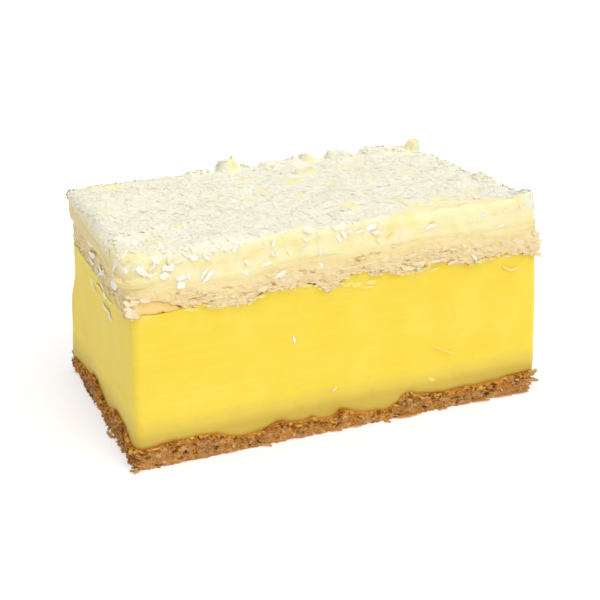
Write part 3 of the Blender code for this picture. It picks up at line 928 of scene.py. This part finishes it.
def lid_sheet():
    """The lid: its side, soft above and torn into leaves below, between two ragged seams.

    Near the front left corner the dough has come away low on the front. A smooth soaked hollow is
    left there, under a ragged lip, and a shadow is painted red brown just under the lip. That
    corner is rounder higher up, and the front right corner bulges.
    """
    places = rim_places(*PASTRY_PLACES)
    low_xy, _ = outline(places, LID_CORNERS[0], PASTRY_CORNER)
    high_xy, _ = outline(places, LID_CORNERS[1], PASTRY_CORNER)
    x, y = low_xy.T
    low = CUSTARD_TOP + seam_rise(x, y, LID_PHASE, LID_SAGS)
    ragged = 0.4 * noise(2.2, 41, x, y) + 0.35 * noise(0.8, 42, x, y)
    low = low + 0.1 - ragged
    high = LID_TOP + 0.15 + seam_rise(*high_xy.T, ICING_PHASE, ICING_SAGS)
    grid = wall(places, LID_CORNERS, PASTRY_CORNER, low, high, LID_ROWS)
    x, y, z, out_x, out_y, share = grid
    stand, gap, tone = flaky_edge(x, y, z, LEAF, seed=50)
    tone = np.maximum(tone, 0.85 * np.exp(-(z - low) / 0.6))
    fray = 0.12 * noise(3, 58, x, y, z) + 0.08 * noise(1.1, 59, x, y, z)
    soak = np.clip((share - 0.45 + fray) / 0.3, 0, 1)
    lip = LIP - 0.045 * np.maximum(x + 45, 0) ** 2 + 0.35 * noise(1.0, 60, x, y)
    lip = lip + 0.25 * noise(0.5, 61, x, y)
    hollow = np.clip((lip - z) / 0.2, 0, 1) * (y < -24) * np.clip((x - HOLLOW[0]) / 0.5, 0, 1)
    hollow = hollow * np.clip((HOLLOW[1] - x) / 1.5, 0, 1)
    # A painted shadow just under the hollow's lip, added to the gap value
    shadow = hollow * np.exp(-(((lip - z) / 0.6) ** 2))
    crack = cracks(x, y, z, LID_FACE, LID_CRACKS) * (y < FRONT)
    soft_stand = dragged(x, y, z) + 0.05 * noise(0.8, 67, x, y, z)
    stand = stand * (1 - soak) + soft_stand * soak
    stand = stand * (1 - hollow) - 0.75 * hollow - 0.5 * crack
    stand = stand - 0.3 * (1 - np.minimum(1, 8 * share + 0.25))
    stand = stand - 1.0 * share * np.exp(-((x + 50) ** 2 + (y + 26.3) ** 2) / 9)
    bulge = (x - 50.4) ** 2 / 6 + (y + 25.5) ** 2 / 6 + (z - 36.8) ** 2 / 4
    stand = stand + 0.8 * np.exp(-bulge)
    # The gap value paints shade in grooves, holes and cracks, and the shadow under the lip
    gap = np.clip(gap * (1 - soak) * (1 - hollow) + crack + 0.9 * shadow, 0, 1)
    soak = soak + np.clip((share - 0.78 + fray) / 0.2, 0, 1)
    side = np.stack((x + out_x * stand, y + out_y * stand, z), axis=-1)
    ends = ((CUSTARD_TOP + 0.3, low), (LID_TOP, high))
    points, faces = closed(places, LID_CORNERS, PASTRY_CORNER, side, 1.0, *ends)
    values = {"gap": gap, "tone": tone, "soak": soak, "bare": hollow}
    values = {name: with_ends(grid, 0, 0) for name, grid in values.items()}
    sheet = new_piece("lid_sheet", points, faces, dough, **values)
    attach(sheet, "root")
    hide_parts("top_pastry")


lid_sheet()

# Chips round the edge, and pale flakes at its foot in front, given as the base's loose flakes are
LID_CHIPS = 1300
LID_FLAKES = (
    (LID_FACE, (123, 303, 134, 305, 0.9), (124, 309, 133, 311, 1.0), (125, 316, 133, 313, 0.9)),
    (LID_FACE, (127, 318, 137, 314, 0.6), (130, 301, 139, 302, 0.8), (125, 297, 135, 299, 0.8)),
    (LID_FACE, (127, 306, 136, 304, 0.5), (125, 304, 130, 311, 0.5), (126, 313, 136, 311, 0.6)),
    (LID_FACE, (140, 300, 149, 301, 0.9), (258, 291, 268, 287, 1.3), (244, 297, 254, 293, 0.6)),
    (LID_FACE, (405, 258, 416, 254, 0.9), (402, 268, 414, 269, 1.1), (412, 264, 424, 263, 1.1)),
    (LID_FACE, (432, 262, 446, 259, 0.9), (448, 264, 458, 260, 0.7), (532, 239, 541, 243, 1.9)),
    (LID_FACE, (534, 247, 540, 245, 1.2), (536, 253, 541, 256, 1.2), (533, 232, 539, 236, 1.3)),
)


def lid_chips():
    """Chips along the lid's edge: more of them low down, where the leaves have torn.

    Those in the hollow are pushed in, out of sight.
    """
    draw = np.random.default_rng(6)
    count = LID_CHIPS
    ends = (LID_CORNERS, PASTRY_CORNER, CUSTARD_TOP + 0.2, LID_TOP - 3.4)
    spots, out, along = side_spots(draw, count, *ends)
    seam = seam_rise(spots[:, 0], spots[:, 1], LID_PHASE, LID_SAGS)
    drop = draw.uniform(0, 1, count) < 0.4
    edge = CUSTARD_TOP + draw.uniform(-0.35, 0.8, count)
    spots[:, 2] = np.where(drop, edge, spots[:, 2]) + seam
    spots = spots + out * draw.uniform(-0.4, 0.05, (count, 1))
    x, y, z = spots.T
    hollow = (np.abs(x + 41.5) < 5.5) & (y < FRONT) & (z < LIP - 0.3)
    spots = spots - out * 2.0 * hollow[:, None]
    facing = np.array((0, 0, 1)) + out * 0.8 + 0.35 * draw.normal(0, 1, (count, 3))
    along = along + 0.25 * draw.normal(0, 1, (count, 3)) * (1, 1, 0.6)
    ranges = ((0.4, 2.0), (0.25, 0.75), (0.05, 0.13))
    sizes = [draw.uniform(*ends, count) for ends in ranges]
    bow = draw.uniform(-0.1, 0.15, count)
    made = slivers(draw, spots, along, facing, sizes, bow, 0.4, 0.5, STATIONS)
    pale = laid(draw, LID_FLAKES, (0.1, 0.2), 0.4, 0.4)
    for name, (points, faces, tones) in {"lid_chips": made, "lid_loose_flakes": pale}.items():
        tones = tones if name == "lid_chips" else 0.6 + 0.4 * tones
        values = {"gap": 0.1 + 0 * tones, "tone": tones, "soak": 0 * tones, "bare": 0 * tones}
        chips = new_piece(name, points, faces, dough, False, **values)
        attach(chips, "root")


lid_chips()


# --------------------
# The icing is a soft cream-coloured slab spread on the lid. It is heaped and lumpy, higher along
# the back and at the front right corner, rounded at its edges, and dragged level by the knife.

ICING_TOP = 48.1
ICING_CORNERS = (
    ((-49.8, -25.9), (48.9, -25.8), (48.2, 26.2), (-48.6, 26.5)),
    ((-49.8, -25.3), (48.7, -25.4), (47.6, 26.0), (-49.4, 26.2)),
)
ICING_FACE = face_plane(ICING_CORNERS, LID_TOP, ICING_TOP, "front")
ICING_END = face_plane(ICING_CORNERS, LID_TOP, ICING_TOP, "left")

# Radii at its four corners, from the front left: of the corner from above, and of the top edge
ICING_ROUNDING = (4.6, 1.2, 2.4, 2.0)
ICING_EDGE = (3.6, 1.4, 1.8, 1.6)

# Points along its length and its depth, rows up its side, and the rings' angles on its shoulder
ICING_PLACES = (264, 150)
ICING_ROWS = 30
SHOULDER_ANGLES = (15, 30, 45, 60, 75)

# Lumps: middle, radius, rise, and power, from 1 for a round lump to 4 for one with steep sides
LUMPS = (
    (-50, -26, 14, -1.9, 1),
    (-50, 24, 9, -0.4, 1),
    (-17.8, 25.5, 2.4, 1.0, 2),
    (-28.5, 26, 3, -0.4, 2),
    (-9.1, 25.5, 2.6, 2.9, 4),
    (-5.6, 25.4, 1.6, 1.3, 1),
    (2.8, 25.5, 3.2, 1.0, 4),
    (8.4, 25.2, 2.6, 1.2, 2),
    (12.7, 25.2, 1.8, 1.8, 3),
    (16.4, 25.2, 1.4, 0.5, 2),
    (21.5, 25.2, 3.7, 1.8, 4),
    (26.6, 25.2, 1.8, 0.6, 2),
    (31.5, 25, 3.6, 1.7, 4),
    (36.0, 25.2, 1.3, 1.3, 2),
    (39.2, 25, 2.6, 1.1, 3),
    (43.5, 24.6, 2.0, 2.6, 3),
    (50, 24.5, 5, -2.4, 2),
    (50, 10, 9, -0.7, 2),
    (47.5, 9.6, 3.7, 0.8, 4),
    (48, -6.5, 4.2, 1.1, 4),
    (48, -12, 1.2, -0.9, 2),
    (49, -17, 4, 0.4, 2),
    (50, -27, 7, 2.4, 2),
    (48.6, 8, 1.5, -0.8, 2),
    (48.6, -11.2, 1.4, -0.6, 2),
    (10, -8, 16, 0.4, 1),
)

# Dents in the icing's front: pixels of the two ends, width in millimetres, depth from 0 to 1
ICING_DENTS = (
    (346, 234, 350, 236, 0.5, 0.8),
    (345, 240, 348, 242, 0.35, 0.5),
    (387, 238, 393, 232, 0.55, 0.8),
    (321, 231, 325, 228, 0.45, 0.8),
    (275, 237, 277, 233, 0.4, 0.6),
    (427, 225, 434, 222, 0.35, 0.8),
    (516, 209, 522, 208, 0.5, 0.5),
    (284, 242, 286, 250, 0.4, 0.4),
    (256, 241, 268, 243, 0.9, 0.4),
    (482, 217, 504, 214, 0.3, 0.3),
    (366, 238, 382, 237, 0.4, 0.25),
    (226, 243, 232, 242, 0.5, 0.6),
    (150, 268, 156, 270, 0.6, 0.4),
    (176, 268, 188, 267, 0.5, 0.4),
    (268, 258, 273, 262, 0.6, 0.6),
    (324, 256, 330, 262, 0.9, 0.4),
    (308, 260, 318, 261, 0.6, 0.4),
    (311, 257, 346, 257, 0.5, 0.35),
    (350, 258, 364, 256, 0.45, 0.9),
    (362, 255, 382, 250, 0.4, 1.0),
    (380, 250, 401, 243, 0.4, 1.0),
)


def icing_top(x, y):
    """The height of the icing's top: it slopes up to the back, with lumps and two sizes of noise.

    A lump is its rise times exp of minus a power of the squared distance from its middle, over its
    squared radius. The larger noise is halved towards the back edge.
    """
    height = ICING_TOP - 0.4 + 0.5 * np.clip(y / 20, 0, 1)
    for lump_x, lump_y, radius, rise, power in LUMPS:
        far = ((x - lump_x) ** 2 + (y - lump_y) ** 2) / radius**2
        height = height + rise * np.exp(-(far**power))
    calm = 1 - 0.5 * np.clip((y - 15) / 8, 0, 1)
    return height + calm * 0.4 * noise(5, 61, x, y) + 0.2 * noise(1.9, 62, x, y)


def soft_icing():
    """Cream icing that light sinks into a bit: white above, yellower at its foot, and yellower to
    amber in dents, which is partly painted shade.
    """
    material, wire = new_material("soft icing")
    foot, dent, matted = (wire.attribute(name) for name in ("foot", "dent", "matted"))
    streak = wire.noise(0.9, 3, (25, 25, 1))
    patch = wire.noise(3.2, 3)
    colour = patch.ramp(0.4, 0.7).mix(rgb(251, 238, 188), rgb(249, 230, 158))
    colour = (streak.ramp(0.4, 0.65) * 0.5).mix(colour, rgb(252, 242, 200))
    colour = (foot.ramp(0.55, 1.0) * 0.7).mix(colour, rgb(246, 229, 168))
    colour = (wire.attribute("smeared") * 0.95).mix(colour, rgb(240, 217, 150))
    colour = matted.ramp(-0.1, 0.9).mix(colour, rgb(243, 241, 217))
    # Dents: yellower, and deep in them a darker amber that is partly painted shade
    colour = (dent.ramp(0.1, 0.9) * 0.75).mix(colour, rgb(244, 208, 104))
    colour = (dent.ramp(0.6, 0.95) * 0.8).mix(colour, rgb(222, 168, 58))
    height = streak * 0.6 + wire.noise(1.2, 3) * 0.6 + wire.noise(0.4, 2) * 0.25
    roughness = 0.55 + patch * 0.2
    wire.finish(
        colour,
        roughness,
        height,
        0.15,
        Subsurface_Weight=0.3,
        Subsurface_Radius=(0.003, 0.0022, 0.001),
        Subsurface_Scale=0.5,
        Specular_IOR_Level=0.3,
    )
    return material


icing_cream = soft_icing()

# The lower limit of the coconut at the front, and bare patches with a radius in millimetres, by
# pixels on the icing's top
COCONUT_LIMIT = (
    (94, 236),
    (120, 241),
    (150, 245),
    (170, 248),
    (203, 245),
    (222, 240),
    (250, 238),
    (262, 233),
    (300, 224),
    (340, 224),
    (373, 218),
    (398, 211),
    (414, 202),
    (439, 197),
    (472, 196),
    (497, 196),
    (522, 198),
    (532, 201),
)
BARE_PATCHES = (
    (116, 187, 1.8),
    (147, 207, 0.8),
    (177, 224, 1.2),
    (152, 236, 1.4),
    (164, 235, 1.0),
    (232, 170, 1.6),
    (243, 182, 1.6),
    (250, 198, 0.9),
    (261, 190, 1.0),
    (268, 164, 1.6),
    (299, 195, 1.1),
    (308, 172, 2.0),
    (292, 182, 1.4),
    (332, 181, 1.1),
    (329, 188, 1.0),
    (310, 161, 1.4),
    (335, 155, 1.6),
    (347, 168, 1.3),
    (366, 171, 1.2),
    (371, 178, 1.0),
    (344, 205, 1.5),
    (352, 206, 1.6),
    (360, 208, 1.0),
    (398, 200, 1.8),
    (404, 206, 1.0),
    (434, 194, 1.3),
    (441, 196, 1.3),
    (467, 189, 1.4),
    (475, 189, 1.4),
    (411, 150, 1.3),
    (410, 172, 1.5),
    (366, 216, 0.8),
    (354, 188, 1.0),
    (104, 211, 1.2),
    (135, 216, 1.0),
)


def coconut_cover(x, y):
    """The chance, from 0 to 1, that coconut lies at a place on top of the icing.

    It is less where slow noise is low, and least beyond the front limit and in a bare patch.
    """
    top = (np.array((0, 0, ICING_TOP)), np.array((0, 0, 1)))
    limit = meet(top, *np.array(COCONUT_LIMIT).T)
    past = y - np.interp(x, limit[:, 0], limit[:, 1]) + 0.6 * noise(1.5, 72, x, y)
    cover = np.clip(0.45 + past / 4.0, 0.05, 1)
    cover = cover * np.clip(1.3 + 1.0 * noise(3.2, 71, x, y) - 0.012 * y, 0.2, 1)
    for px, py, radius in BARE_PATCHES:
        spot = meet(top, px, py)
        far = (x - spot[0]) ** 2 + ((y - spot[1]) * 0.8) ** 2
        cover = cover * (1 - 0.95 * np.exp(-((far / (1.4 * radius) ** 2) ** 2)))
    return cover


def icing_slab():
    """The icing: its side and shoulder, a grid of points on top, and a closed foot.

    On the shoulder a ring is drawn in by 1 - cos of an angle and dropped by 1 - sin of it, times
    the top edge's radius there, below the height of the top. The grid is the same outline shrunk to
    its middle. The side flares out to the lid's, and its foot thins out and goes in under the lid's
    skin. Dough has been smeared over it at the left end.
    """
    long, deep = ICING_PLACES
    places = rim_places(long, deep)
    edge = corner_blend(places, ICING_EDGE)
    foot_xy, _ = outline(places, ICING_CORNERS[0], ICING_ROUNDING)
    foot = LID_TOP + seam_rise(*foot_xy.T, ICING_PHASE, ICING_SAGS)
    foot = foot + 0.25 * noise(2.5, 63, *foot_xy.T)
    high_xy, _ = outline(places, ICING_CORNERS[1], ICING_ROUNDING)
    shoulder = icing_top(*high_xy.T) - edge[:, 0]
    grid = wall(places, ICING_CORNERS, ICING_ROUNDING, foot - 1.0, shoulder, ICING_ROWS)
    x, y, z, out_x, out_y, _ = grid
    dent = cracks(x, y, z, ICING_FACE, ICING_DENTS) * (y < FRONT)
    above = (z - foot) / (shoulder - foot)
    flare = 0.4 + 1.3 * np.exp(-((x + 49.8) ** 2 + (y + 25.9) ** 2) / 16)
    drag = dragged(x, y, z) - 0.5 * dent + flare * np.clip(1 - above, 0, 1) ** 3
    drag = drag + np.clip(0.25 * (z - foot + 0.2), -0.25, 0.06)
    side = np.stack((x + out_x * drag, y + out_y * drag, z), axis=-1)
    feet = np.clip(1 - above, 0, 1)
    smeared = np.clip(-out_x, 0, 1) * np.clip(1.5 - above + 0.4 * noise(2, 68, x, y, z), 0, 1)
    corner = np.exp(-((x + 49) ** 2 + (y + 25.5) ** 2) / 25)
    smeared = np.maximum(smeared, corner * np.clip(1.3 - 1.8 * above, 0, 1))
    rings = []
    for angle in np.radians(SHOULDER_ANGLES):
        inset = edge * (1 - np.cos(angle))
        xy, out = outline(places, ICING_CORNERS[1], ICING_ROUNDING, inset)
        z = icing_top(*xy.T) - edge[:, 0] * (1 - np.sin(angle))
        drag = dragged(*xy.T, z) * np.cos(angle)
        rings.append(np.column_stack((xy + out * drag[:, None], z)))
    ends = (ICING_CORNERS[0], ICING_ROUNDING, (RIM_WIDTH,), LID_TOP - 0.1, foot - 1.0)
    rings = np.concatenate((inner_rings(places, *ends), side, rings))
    u, v = np.linspace(-1, 1, long + 1), np.linspace(-1, 1, deep + 1)
    middle = np.stack(np.meshgrid(u, v), axis=-1)
    edge = corner_blend(middle, ICING_EDGE)
    centre, _ = outline(middle, ICING_CORNERS[1], ICING_ROUNDING, edge)
    height = icing_top(centre[..., 0], centre[..., 1])
    sheet = np.concatenate((centre, height[..., None]), axis=-1)
    points = np.concatenate((rings.reshape(-1, 3), sheet.reshape(-1, 3)))
    rows, count = rings.shape[:2]
    faces = band(rows, count).tolist()
    faces.append(list(range(count))[::-1])
    index = rows * count + np.arange(height.size).reshape(deep + 1, long + 1)
    near, far = index[:-1, :-1], index[1:, 1:]
    faces += np.stack((near, near + 1, far, far - 1), axis=-1).reshape(-1, 4).tolist()
    rim = np.concatenate((index[0, :-1], index[:-1, -1], index[-1, :0:-1], index[:0:-1, 0]))
    last = (rows - 1) * count + np.arange(count)
    faces += np.stack((last, np.roll(last, -1), np.roll(rim, -1), rim), axis=-1).tolist()
    pad = len(points) - count - feet.size
    values = {"foot": feet, "dent": dent, "smeared": smeared}
    for name, value in values.items():
        values[name] = np.concatenate((np.ones(count), value.ravel(), np.zeros(pad)))
    above = np.clip((points[:, 2] - ICING_TOP + 3) / 2, 0, 1) * (1 - 0.7 * values["smeared"])
    values["matted"] = above * coconut_cover(points[:, 0], points[:, 1])
    slab = new_piece("icing_slab", points, faces, icing_cream, **values)
    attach(slab, "root")
    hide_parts("icing")


icing_slab()


# --------------------
# Dried coconut, shredded and flaked, is strewn over the icing while it is wet. It lies every way,
# matted, hangs over the ends and the back, and leaves the front edge and a few small patches bare.

# How far out along X and Y it is strewn, the sine of the steepest lean that it lies on, and how
# many spots are tried on the icing's sides
STREWN_REACH = (51, 27.5)
STEEPEST = 0.97
CLINGING_SPOTS = 5200


def dried_coconut():
    """White coconut, a little creamy, each piece of its own tone."""
    material, wire = new_material("dried coconut")
    tone = wire.attribute("tone")
    grain = wire.noise(0.6, 2)
    colour = tone.mix(rgb(242, 237, 212), rgb(252, 249, 240))
    colour = (tone.ramp(0.12, 0.0) * 0.6).mix(colour, rgb(243, 234, 196))
    wire.finish(colour, 0.5 + grain * 0.2, grain, 0.03, Specular_IOR_Level=0.2)
    return material


coconut = dried_coconut()


def coconut_bits(name, draw, spots, along, facing, ranges, stations, tone):
    """Bits of coconut at given spots, whose length, width and thickness lie in those ranges."""
    sizes = [draw.uniform(*ends, len(spots)) for ends in ranges]
    bow = draw.uniform(-0.03, 0.05, len(spots)) * sizes[0]
    points, faces, tones = slivers(draw, spots, along, facing, sizes, bow, 0.3, 0.4, stations)
    bits = new_piece(name, points, faces, coconut, False, tone=tone * tones)
    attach(bits, "root")


def strewn(name, seed, count, ranges, stations):
    """Coconut strewn on the icing's top: bits at random spots that lie on it, turned any way.

    The gaps are how far in a spot is from the left, right, front and back edges. Near an edge, at a
    share f of the rounding's radius past its start, the surface leans out by the angle whose sine
    is f, and is lower by the radius times 1 - the cosine. A spot is kept by the chance that coconut
    lies there, until there are enough.
    """
    draw = np.random.default_rng(seed)
    x, y = (draw.uniform(-1, 1, (count * 3, 2)) * STREWN_REACH).T
    gaps = np.stack((x + 49.6 - 0.008 * y, 48.1 - 0.02 * y - x, y + 25.35, 26.1 - y))
    edge = corner_blend(np.column_stack((x, y)) / STREWN_REACH, ICING_EDGE)[:, 0]
    lean = np.clip(1 - gaps / edge, 0, STEEPEST)
    lean = np.stack((lean[1] - lean[0], lean[3] - lean[2]))
    lean *= np.minimum(1, STEEPEST / np.maximum(np.linalg.norm(lean, axis=0), 1e-9))
    keep = (gaps.min(axis=0) > 0.05) & (draw.uniform(0, 1, len(x)) < coconut_cover(x, y))
    keep = np.flatnonzero(keep)[:count]
    x, y, lean, edge = x[keep], y[keep], lean[:, keep], edge[keep]
    count = len(x)
    upright = np.sqrt(1 - (lean**2).sum(axis=0))
    step = 0.4
    slope_x = (icing_top(x + step, y) - icing_top(x - step, y)) / (2 * step)
    slope_y = (icing_top(x, y + step) - icing_top(x, y - step)) / (2 * step)
    facing = np.column_stack((lean[0] - slope_x, lean[1] - slope_y, upright))
    facing /= np.linalg.norm(facing, axis=-1, keepdims=True)
    z = icing_top(x, y) - edge * (1 - upright)
    spots = np.column_stack((x, y, z)) + facing * draw.uniform(-0.03, 0.04, (count, 1))
    along = draw.normal(0, 1, (count, 3))
    along -= facing * (along * facing).sum(axis=-1, keepdims=True)
    along /= np.linalg.norm(along, axis=-1, keepdims=True)
    along = along + facing * 0.03 * draw.normal(0, 1, (count, 1))
    facing = facing + 0.04 * draw.normal(0, 1, facing.shape)
    coconut_bits(name, draw, spots, along, facing, ranges, stations, 0.45)


strewn("coconut_long", 81, 1900, ((1.6, 3.4), (0.4, 0.8), (0.04, 0.07)), stations=4)
strewn("coconut_flakes", 82, 3600, ((0.9, 2.1), (0.5, 1.2), (0.03, 0.06)), stations=4)
strewn("coconut_crumbs", 83, 4600, ((0.35, 0.8), (0.3, 0.7), (0.04, 0.08)), stations=3)


def clinging():
    """Coconut that clings to the icing's upright sides, lying flat against them.

    A random spot keeps its bit by a chance that falls with the square of its depth below the top,
    and is greatest at the left end and its front corner, less at the right and back, and small at
    the front.
    """
    draw = np.random.default_rng(84)
    count = CLINGING_SPOTS
    ends = (ICING_CORNERS, ICING_ROUNDING, LID_TOP + 0.4, ICING_TOP - 1.6)
    spots, out, along = side_spots(draw, count, *ends)
    x, y, z = spots.T
    reach = 0.03 + 0.3 * np.clip(-0.2 - out[:, 0], 0, 0.8) / 0.8
    reach = np.maximum(reach, 0.4 * np.exp(-((x + 47) ** 2 + (y + 26) ** 2) / 40))
    reach = np.maximum(reach, 0.35 * (out[:, 0] > 0.5))
    reach = np.maximum(reach, 0.35 * (out[:, 1] > 0.5))
    height = np.clip((z - LID_TOP) / (ICING_TOP - LID_TOP), 0, 1)
    keep = draw.uniform(0, 1, count) < reach * height**2
    spots, out, along = spots[keep], out[keep], along[keep]
    count = len(spots)
    spots = spots + out * draw.uniform(0.0, 0.18, (count, 1))
    turn = draw.uniform(0, np.pi, (count, 1))
    along = along * np.cos(turn) + np.array((0, 0, 1)) * np.sin(turn)
    facing = out + 0.1 * draw.normal(0, 1, (count, 3))
    ranges = ((0.6, 2.2), (0.3, 0.9), (0.05, 0.1))
    coconut_bits("coconut_clinging", draw, spots, along, facing, ranges, 4, 0.7)


clinging()


# --------------------
# A few shreds have fallen on the cut faces and stuck there. Each is given by the pixels of its two
# ends, and lies where the camera's sight of them meets the face.

# A face, and for each shred on it the pixels of its two ends and its width in millimetres
STUCK = (
    (ICING_FACE, (137, 267, 146, 276, 1.3), (144, 274, 152, 277, 1.0), (162, 269, 174, 268, 1.7)),
    (ICING_FACE, (160, 278, 169, 275, 1.3), (143, 281, 160, 283, 0.8), (176, 279, 186, 277, 1.1)),
    (ICING_FACE, (187, 273, 190, 280, 0.7)),
    (LID_FACE, (177, 285, 185, 286, 1.5)),
    (ICING_FACE, (201, 279, 208, 268, 0.8), (202, 283, 214, 270, 0.9), (241, 271, 252, 275, 0.8)),
    (ICING_FACE, (261, 265, 273, 266, 1.6), (244, 261, 250, 264, 1.0)),
    (LID_FACE, (276, 277, 286, 271, 1.2)),
    (ICING_FACE, (319, 247, 322, 262, 0.5), (321, 268, 322, 258, 1.0), (272, 252, 274, 256, 0.5)),
    (ICING_FACE, (276, 252, 277, 256, 0.4)),
    (LID_FACE, (463, 245, 470, 250, 0.4), (468, 249, 477, 261, 0.8)),
    (ICING_FACE, (481, 229, 489, 230, 0.8), (497, 227, 504, 225, 0.7), (425, 229, 436, 225, 0.8)),
    (ICING_FACE, (342, 231, 346, 237, 1.0), (336, 236, 341, 242, 1.0), (303, 239, 309, 240, 0.9)),
    (ICING_FACE, (304, 228, 313, 231, 1.3), (366, 229, 376, 226, 1.2), (372, 232, 380, 233, 0.9)),
    (ICING_FACE, (520, 204, 522, 210, 0.5), (188, 256, 198, 259, 1.2), (150, 258, 160, 262, 1.2)),
    (ICING_FACE, (132, 242, 138, 244, 1.2), (122, 258, 127, 250, 0.6), (124, 268, 127, 273, 0.8)),
    (CUSTARD_FACE, (293, 335, 295, 343, 0.5), (333, 391, 337, 387, 0.4), (218, 388, 227, 388, 0.4)),
    (LID_END, (88, 241, 93, 246, 1.2), (89, 253, 95, 256, 1.4), (89, 258, 94, 264, 1.3)),
    (LID_END, (99, 265, 103, 275, 1.3), (102, 272, 106, 277, 1.0), (98, 275, 104, 271, 0.9)),
    (LID_END, (100, 279, 103, 289, 1.4), (111, 284, 118, 284, 2.2)),
    (ICING_END, (113, 275, 119, 259, 0.9), (112, 270, 114, 280, 0.6), (100, 253, 103, 259, 1.0)),
    (CUSTARD_END, (103, 294, 107, 299, 1.5), (108, 298, 110, 306, 0.9), (103, 303, 110, 314, 0.8)),
    (CUSTARD_END, (108, 311, 112, 321, 1.1), (91, 280, 93, 286, 1.2), (94, 286, 96, 292, 0.7)),
    (CUSTARD_END, (82, 253, 84, 263, 0.8)),
)


def stuck_shreds():
    """Shreds on the cut faces: each from one end's meeting with its face to the other's."""
    draw = np.random.default_rng(8)
    points, faces, tones = laid(draw, STUCK, (0.07, 0.14), 0.5, 0.45)
    shreds = new_piece("coconut_stuck", points, faces, coconut, False, tone=0.5 + 0.5 * tones)
    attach(shreds, "root")


stuck_shreds()
